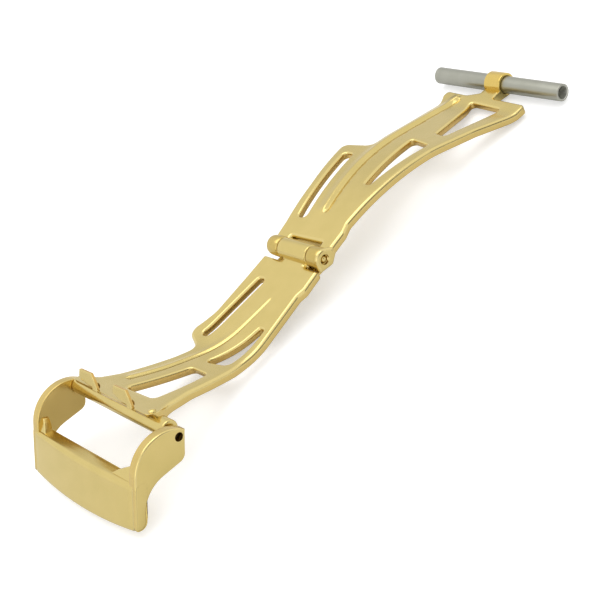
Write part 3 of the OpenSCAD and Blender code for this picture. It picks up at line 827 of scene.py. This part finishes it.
# The left knuckle is closed, with a blunt nose: (way in from its end, radius)
NOSE = [(0, 0), (0, 0.5), (0.05, 0.75), (0.16, 0.95), (0.34, 1.09), (0.6, 1.18), (0.9, 1.21), (1.2, KNUCKLE)]
left_end = [(SLIT_HIGH, 0), (SLIT_HIGH, 1.06), (SLIT_HIGH + 0.04, 1.15), (SLIT_HIGH + 0.14, KNUCKLE)]
left_nose = [(KNUCKLE_LEFT - y, r) for y, r in NOSE[::-1]]
# Both outer knuckles take the darker gold, painted shade.
left_knuckle = turned("left_knuckle", left_end + left_nose, 0, 0, shaded_gold)
right_knuckle = ring("right_knuckle", 0, 0, -KNUCKLE_RIGHT - INTO_EAR, SLIT_LOW, KNUCKLE, PIN,
                     KNUCKLE_EDGE, shaded_gold)
# The loop takes the warmer, brighter gold, painted light.
loop = ring("loop", tube.x, tube.z, -LOOP_W / 2, LOOP_W / 2, LOOP_OUT, LOOP_IN, 0.12, lit_gold)


def side_plate(name, shape, y_low, thick, edge, under, holes=()):
    """A blank that stands on its edge, drawn in x and z, with its top face towards -y."""
    bm = blank(shape, holes, thick, edge=edge, under=under, pitch=0.4, in_holes=(0.2, 1.0))
    return as_object(moved(bm, lambda p: Vector((p.x, y_low - p.z, p.y))), name, gold)


# The ear follows the knuckle over the pin and is squared off below it
EAR_FOOT = [(1.7, 0.4, 0.2), (1.7, -0.5, 0.3), (0.7, -1.35, 0.4), (-KNUCKLE, -1.08, 0.3)]
arc = [(-KNUCKLE * math.cos(a), KNUCKLE * math.sin(a), 0) for a in [math.pi / 16 * k for k in range(12)]]
ear_hole = circle(EAR_HOLE, 32)
ear = side_plate("ear", rounded(EAR_FOOT + arc), -KNUCKLE_RIGHT - EAR, EAR, 0.34, 0.04, [ear_hole])
# The neck runs down from the sheet's end and in under the tube, a hair wider than the loop
neck_shape = rounded([(inner_x - 0.5, inner_z - BLADE, 0), (tube.x - 0.2, tube.z - 1.4, 0.03),
                      (tube.x - 0.5, tube.z - 1.12, 0), (tube.x - 0.9, tube.z - 0.78, 0),
                      (tube.x - 1.12, tube.z - 0.1, 0), (tube.x - 1.3, inner_z - 0.05, 0.05),
                      (inner_x - 0.5, inner_z - 0.05, 0)], 0.2)
neck = side_plate("neck", neck_shape, -LOOP_W / 2 - NECK_OVER, LOOP_W + 2 * NECK_OVER, 0.05, 0.05)
finish_piece("inner_blade_pressed", [inner_sheet, left_knuckle, right_knuckle, loop, ear, neck],
             "inner_half", ["inner_blade"])

# %% [markdown]
# ## Pins and the crossbar
# The crossbar lies between the cheeks and its pin turns in them. The hinge pin has a small nose that
# shows in the ear.

# %% Pins and crossbar
BAR, BAR_RISE, BAR_RIGHT, BAR_LEFT = 1.02, 0.3, -8.6, 8.94
FRAME_PIN, PIN_HALF = 0.45, 9.6
bar_x, bar_z = bar.x + BAR_RISE * math.sin(tip_heading), bar.z + BAR_RISE * math.cos(tip_heading)
rod = turned("bar", domed(BAR_RIGHT, BAR_LEFT, BAR, 0.2, 0), bar_x, bar_z, gold)
finish_piece("crossbar_turned", [rod], "outer_half", ["crossbar"])
# The frame pin is near-black: painted shade in the pivot holes and the gaps by the bar's ends.
rod = turned("pin", domed(-PIN_HALF, PIN_HALF, FRAME_PIN, 0.12, 0.08), bar.x, bar.z, shadow_steel)
finish_piece("frame_pin_peened", [rod], "outer_half", ["frame_pin"])
# The hinge pin, from its nose in the ear to its end in the left knuckle
HINGE_PIN = [(-5.02, 0), (-5.0, 0.18), (-4.93, 0.29), (-4.8, 0.35), (-4.5, 0.36), (-4.5, PIN), (3.6, PIN),
             (3.6, 0)]
finish_piece("hinge_pin_peened", [turned("pin", HINGE_PIN, 0, 0, gold)], "inner_half", ["hinge_pin"])

# %% [markdown]
# ## The spring bar tube
# The steel tube turns in the loop. It is the same ring as a knuckle, only longer and thinner in the
# wall, so the ring tree makes it too. Its reamed bore gets a far brighter steel than its satin outside, as
# painted light.

# %% The tube
TUBE_HALF, TUBE_R, TUBE_BORE, TUBE_EDGE = 10.2, 1.05, 0.8, 0.09
tube_ring = ring("tube", tube.x, tube.z, -TUBE_HALF, TUBE_HALF, TUBE_R, TUBE_BORE, TUBE_EDGE, steel)
# The bore takes the bright steel: painted light inside the tube.
tube_ring.data.materials.append(lit_bore_steel)
for face in tube_ring.data.polygons:
    if math.hypot(face.center.x - tube.x, face.center.z - tube.z) < TUBE_BORE + TUBE_EDGE / 2:
        face.material_index = 1
finish_piece("spring_bar_tube_satin", [tube_ring], "tube", ["spring_bar_tube"])

# %% [markdown]
# ## The plate rivets
# Two rivets hold the end plate on the crossbar. They are alike, so a tree puts one rivet on each end
# of a short line across the clasp. Its inputs are the distance between them, the sizes of the head and
# the shank, the lean and the foot.

# %% A row of rivets
rivet_tree, given, result = new_tree(
    "Row of rivets",
    [("Geometry", SHAPE, None), ("Spacing", NUMBER, 11.4), ("Head radius", NUMBER, 0.5),
     ("Head height", NUMBER, 0.25), ("Shank radius", NUMBER, 0.3), ("Shank length", NUMBER, 1.4),
     ("Lean", NUMBER, 0), ("Foot", VECTOR, (0, 0, 0)), ("Finish", FINISH, None)])
g = given.outputs
ball = put(rivet_tree, "GeometryNodeMeshUVSphere", Segments=32, Rings=16, Radius=g["Head radius"])
flat = calc(rivet_tree, "DIVIDE", g["Head height"], g["Head radius"])
squeeze = put(rivet_tree, "ShaderNodeCombineXYZ", i0=1, i1=1, i2=flat)
rise = put(rivet_tree, "ShaderNodeCombineXYZ", i2=g["Shank length"])
head = put(rivet_tree, "GeometryNodeTransform", Geometry=ball.outputs[0], Scale=squeeze.outputs[0],
           Translation=rise.outputs[0])
stem = put(rivet_tree, "GeometryNodeMeshCylinder", Vertices=32, Radius=g["Shank radius"],
           Depth=g["Shank length"])
lift = put(rivet_tree, "ShaderNodeCombineXYZ", i2=calc(rivet_tree, "MULTIPLY", g["Shank length"], 0.5))
shank = put(rivet_tree, "GeometryNodeTransform", Geometry=stem.outputs[0], Translation=lift.outputs[0])
rivet = put(rivet_tree, "GeometryNodeJoinGeometry")
rivet_tree.links.new(head.outputs[0], rivet.inputs[0])
rivet_tree.links.new(shank.outputs[0], rivet.inputs[0])
half = calc(rivet_tree, "MULTIPLY", g["Spacing"], 0.5)
left = put(rivet_tree, "ShaderNodeCombineXYZ", i1=half)
right = put(rivet_tree, "ShaderNodeCombineXYZ", i1=calc(rivet_tree, "MULTIPLY", half, -1))
row = put(rivet_tree, "GeometryNodeMeshLine", {"mode": "END_POINTS"}, Count=2)
rivet_tree.links.new(left.outputs[0], row.inputs["Start Location"])
rivet_tree.links.new(right.outputs[0], row.inputs["Offset"])
lean = put(rivet_tree, "ShaderNodeCombineXYZ", i1=g["Lean"])
placed = put(rivet_tree, "GeometryNodeInstanceOnPoints", Points=row.outputs[0], Instance=rivet.outputs[0],
             Rotation=lean.outputs[0])
set_up = put(rivet_tree, "GeometryNodeTransform", Geometry=placed.outputs[0], Translation=g["Foot"])
dress(rivet_tree, set_up.outputs[0], given, result)
print("rivet tree:", len(rivet_tree.nodes), "nodes")

# %% Set the rivets through the plate
# A rivet's axis runs from the crossbar's pin to a point on the plate, RIVET_BACK from its tip
RIVET_Y, RIVET_BACK, RIVET_FOOT = 6.55, 0.95, 0.6
reach = Vector((-plate_x + RIVET_BACK * math.cos(tip_heading) - bar.x, 0,
                plate_z - RIVET_BACK * math.sin(tip_heading) - bar.z))
rivet_lean = math.atan2(reach.x, reach.z)
foot = bar + RIVET_FOOT * reach.normalized()
print("rivets lean %.1f degrees" % math.degrees(rivet_lean))
rivet_row = grown("rivets", rivet_tree,
                  {"Spacing": 2 * RIVET_Y, "Head radius": 0.45, "Head height": 0.3, "Shank radius": 0.3,
                   "Shank length": reach.length - RIVET_FOOT, "Lean": rivet_lean, "Foot": foot,
                   "Finish": gold})
finish_piece("plate_rivets_domed", [rivet_row], "outer_half", ["plate_rivets"])

# %% [markdown]
# ## The buckle frame
# The frame is a cast hoop: a front plate with a bulging face and a dipped lower edge, two domed cheeks
# with pivot holes, and a gusset in each lower corner of its window. Cheeks and gussets are tumbled
# blanks, and the front plate is lofted from one side to the other. They are set up in the frame's own
# position, upright with the pin at the centre, and then leaned as the photograph shows. The cheeks'
# inner faces get a deeper tone, painted shade.

# %% Cheeks
FRAME_W, CHEEK, PIVOT_R = 20.4, 1.2, 0.48
# The front plate: reach before the pin, drop below it, height, thickness, and its dip and bulge
REACH, DROP, FRONT_H, FRONT_T, DIP, BULGE = 5.35, 3.95, 4.9, 1.35, 0.7, 0.45
# The cheeks: height above the pin, reach behind it, and the radii of the dome and of the hollow
CROWN, REAR, TOP_R, HOLLOW_R = 1.04, 0.74, 4.35, 3.7
FOOT, FOOT_X = -DROP - FRONT_H, -REACH + FRONT_T - 0.12
# The cheeks stand SHY within the plate's ends, so that no two faces share a plane
SHY = 0.01
LEAN = math.radians(32)


def arc_points(cx, cz, r, start, end, count=24):
    """Points of an arc that runs from one angle to another, in degrees."""
    return [(cx + r * math.cos(math.radians(a)), cz + r * math.sin(math.radians(a)), 0)
            for a in [start + (end - start) * k / count for k in range(count + 1)]]


top_x, top_z = TOP_R - REACH, CROWN - TOP_R
dome = arc_points(top_x, top_z, TOP_R, 180, 66)
cheek_line = rounded([(-REACH, FOOT, 0.3)] + dome + [(REAR, 0.35, 0.7), (REAR, -2.49, 1),
                     (FOOT_X, FOOT + 4.1, HOLLOW_R), (FOOT_X, FOOT, 0.85)], 0.25)
cheeks = []
for side in (-1, 1):
    # The cheeks' undersides, their inner faces, take painted shade.
    bm = blank(cheek_line, [circle(PIVOT_R, 40)], CHEEK, edge=0.21, under=0.12, pitch=0.5,
               in_holes=(0.4, 0.3), back=0.35)
    moved(bm, lambda p: Vector((p.x, side * (FRAME_W / 2 - SHY + p.z), p.y)))
    cheeks.append(as_object(bm, "cheek", gold))
print("cheek dome centre at x %.2f z %.2f" % (top_x, top_z))

# %% Front plate, lofted from one side to the other
half_w = FRAME_W / 2
SOFT, SAG, RISE = 0.12, 0.2, 0.2
section = rounded([(-REACH, FOOT, 0.25), (-REACH, -DROP, 0.4), (-REACH + FRONT_T, -DROP + RISE, 0.12),
                   (-REACH + FRONT_T, FOOT, 0.9)], 0.35)
section = section if area(section) > 0 else section[::-1]
section_normals = inward(section)


def section_at(y, inset):
    """The belly is 1 at mid width, where the plate bulges to the front and dips below."""
    ring, belly = [], 1 - (y / half_w) ** 2
    for p, n in zip(section, section_normals):
        # Only the front and the foot go round at the ends; the rest runs on into the cheek
        free = p.x < -REACH + 0.5 or p.y < FOOT + 1
        q = p + n * inset * free
        front = min(1, max(0, (-REACH + FRONT_T - q.x) / FRONT_T))
        low = min(1, max(0, (-DROP - q.y) / FRONT_H))
        sag = SAG * belly * front * (1 - low)
        ring.append(Vector((q.x - BULGE * belly * front, y, q.y - DIP * belly * low - sag)))
    return ring


def loft(rings):
    """Skin between closed rings, with a flat cap at both ends."""
    bm = bmesh.new()
    rows = [[bm.verts.new(p) for p in ring] for ring in rings]
    for a, b in zip(rows, rows[1:]):
        for i in range(len(a)):
            bm.faces.new((a[i - 1], a[i], b[i], b[i - 1]))
    bm.faces.new(rows[0])
    bm.faces.new(rows[-1])
    return bm


ends = [(half_w - SOFT * (1 - math.cos(a)), SOFT * (1 - math.sin(a)))
        for a in [math.pi / 10 * k for k in range(6)]]
across = [(y, inset) for y, inset in ends[::-1]] + [(half_w * (1 - k / 14), 0) for k in range(1, 28)]
across += [(-y, inset) for y, inset in ends]
plate = as_object(loft([section_at(y, inset) for y, inset in across]), "front", gold)
print("front plate: %d faces" % len(plate.data.polygons))

# %% Gussets
# A gusset fills each front corner: (side, slope of its top as distance from the middle and height)
GUSSETS = [(-1, [(5.5, 0), (6.44, 0.6), (7.19, 0.92), (7.8, 1.25), (8.4, 1.5), (9.3, 1.62)]),
           (1, [(7.85, 0), (8.05, 0.4), (8.4, 0.95), (8.75, 1.4), (9.3, 1.5)])]
ROOT, SET_BACK, RAMP, RAMP_H, REAR_GAP = 0.25, 0.2, 0.4, 1.45, 0.03


def ramp_back(p, side):
    """The drawing stands across the frame, and its front face leans back as it rises."""
    front = -REACH + SET_BACK + RAMP * min(1, max(0, (p.y + DROP) / RAMP_H))
    return Vector((front - p.z * (-REACH + FRONT_T - REAR_GAP - front), side * p.x, p.y))


gussets = []
for side, slope in GUSSETS:
    top = [(y, h - DROP - 0.015, 0.12) for y, h in slope]
    shape = rounded([(slope[0][0], -DROP - ROOT, 0)] + top + [(slope[-1][0], -DROP - ROOT, 0)], 0.2)
    bm = blank(shape, thick=1.0, edge=0.1, under=0.12, pitch=0.3)
    gussets.append(as_object(moved(bm, lambda p: ramp_back(p, side)), "gusset", gold))
lean = Matrix.Rotation(LEAN, 4, "Y")
for obj in cheeks + [plate] + gussets:
    obj.data.transform(Matrix.Translation(bar) @ lean)
finish_piece("buckle_frame_cast", cheeks + [plate] + gussets, "frame", ["buckle_frame"])

# %% [markdown]
# ## Floor and light
# A plain pale floor carries the clasp. The floor looks white to the camera and in the metal, because a
# little emission is added for those rays alone; it keeps the clasp's soft shadow. The room itself is a
# plain white studio with one dark place, where the photographer stands, and a wall beyond the clasp
# that is a little dimmer. The dark place draws the thin dark lines along rounded edges, and the dim wall
# quietens the blades' far slopes. Three soft lamps give the edges their highlights.

# %% Floor
PAPER, CAMERA_GLOW, METAL_GLOW = 0.73, 0.45, 0.04
bm = bmesh.new()
bmesh.ops.create_grid(bm, x_segments=2, y_segments=2, size=1.5)
floor_mesh = bpy.data.meshes.new("studio_floor")
bm.to_mesh(floor_mesh)
bm.free()
floor = new_object("studio_floor", floor_mesh)
floor_mat = bpy.data.materials.new("pale paper")
floor_mat.use_nodes = True
tree = floor_mat.node_tree
tree.nodes.clear()
paper = tree.nodes.new("ShaderNodeBsdfDiffuse")
paper.inputs["Color"].default_value = (PAPER, PAPER, PAPER, 1)
seen = put(tree, "ShaderNodeLightPath").outputs
other = calc(tree, "MAXIMUM", seen["Is Glossy Ray"], seen["Is Transmission Ray"])
in_metal = calc(tree, "MULTIPLY", METAL_GLOW, other)
strength = calc(tree, "MULTIPLY_ADD", seen["Is Camera Ray"], CAMERA_GLOW, in_metal)
glow = put(tree, "ShaderNodeEmission", Strength=strength)
both = put(tree, "ShaderNodeAddShader")
tree.links.new(paper.outputs[0], both.inputs[0])
tree.links.new(glow.outputs[0], both.inputs[1])
out = tree.nodes.new("ShaderNodeOutputMaterial")
tree.links.new(both.outputs[0], out.inputs[0])
floor_mesh.materials.append(floor_mat)
print("floor: %s, %.0f m across" % (floor_mat.name, floor.dimensions.x))

# %% World
world = bpy.data.worlds.new("white studio")
bpy.context.scene.world = world
world.use_nodes = True
sky = world.node_tree.nodes["Background"]
sky.inputs["Color"].default_value = (1, 1, 1, 1)
room = world.node_tree


def wall_patch(way, first, full, share):
    """Towards way the room dims softly to share; first and full are cosines off that way."""
    spot = put(room, "ShaderNodeVectorMath", {"operation": "DOT_PRODUCT"},
               i0=put(room, "ShaderNodeTexCoord").outputs["Generated"], i1=Vector(way).normalized())
    fall = put(room, "ShaderNodeMapRange", {"interpolation_type": "SMOOTHSTEP"},
               Value=spot.outputs["Value"])
    for label, value in (("From Min", first), ("From Max", full), ("To Min", 1.0), ("To Max", share)):
        fall.inputs[label].default_value = value
    return fall.outputs[0]


photographer = wall_patch((0.3, -0.93, 0.2), 0.85, 0.97, 0.28)
far_wall = wall_patch((0.67, 0.74, 0.0), 0.75, 0.95, 0.82)
room.links.new(calc(room, "MULTIPLY", photographer, far_wall), sky.inputs["Strength"])
print("room:", len(room.nodes), "nodes")


# %% Lamps
def softbox(name, place, aim, size, power):
    data = bpy.data.lights.new(name, "AREA")
    data.shape = "RECTANGLE"
    data.size, data.size_y = size
    data.energy = power
    lamp = new_object(name, data)
    lamp.location = place
    lamp.rotation_euler = (Vector(aim) - Vector(place)).to_track_quat("-Z", "Y").to_euler()
    print("%s: %.2f W from %s" % (name, power, tuple(place)))


softbox("overhead", (0.02, 0.08, 0.45), (0, 0, 0), (0.4, 0.25), 0.45)
softbox("left front", (-0.4, -0.15, 0.25), (0, 0, 0.004), (0.2, 0.3), 0.12)
softbox("right strip", (0.18, -0.17, 0.42), (0, 0, 0.004), (0.3, 0.12), 0.16)

# %% [markdown]
# ## Camera
# The camera was fitted to the photograph: corners of the frame, the pin holes, the hinge and the tube.
# It looks down at 34 degrees from the buckle's end and is rolled, as the picture is.

# %% Camera
SENSOR, PICTURE_PX, FOCAL_PX = 36, 600, 1413.3
camera_data = bpy.data.cameras.new("camera")
camera_data.sensor_width = SENSOR
camera_data.lens = SENSOR * FOCAL_PX / PICTURE_PX
camera_data.clip_start = 0.01
camera = new_object("camera", camera_data)
right = Vector((0.65611, -0.63503, -0.40776)).normalized()
ahead = Vector((0.36833, 0.74105, -0.56141)).normalized()
down = ahead.cross(right).normalized()
right = down.cross(ahead)
turn = Matrix((right, -down, -ahead)).transposed().to_4x4()
stand = (Vector((-61.88, -119.3, 85.054)) + hinge) * MM
camera.matrix_world = Matrix.Translation(stand) @ turn
bpy.context.scene.camera = camera
bpy.context.scene.view_settings.view_transform = "Standard"
print("camera at", [round(c, 4) for c in stand])
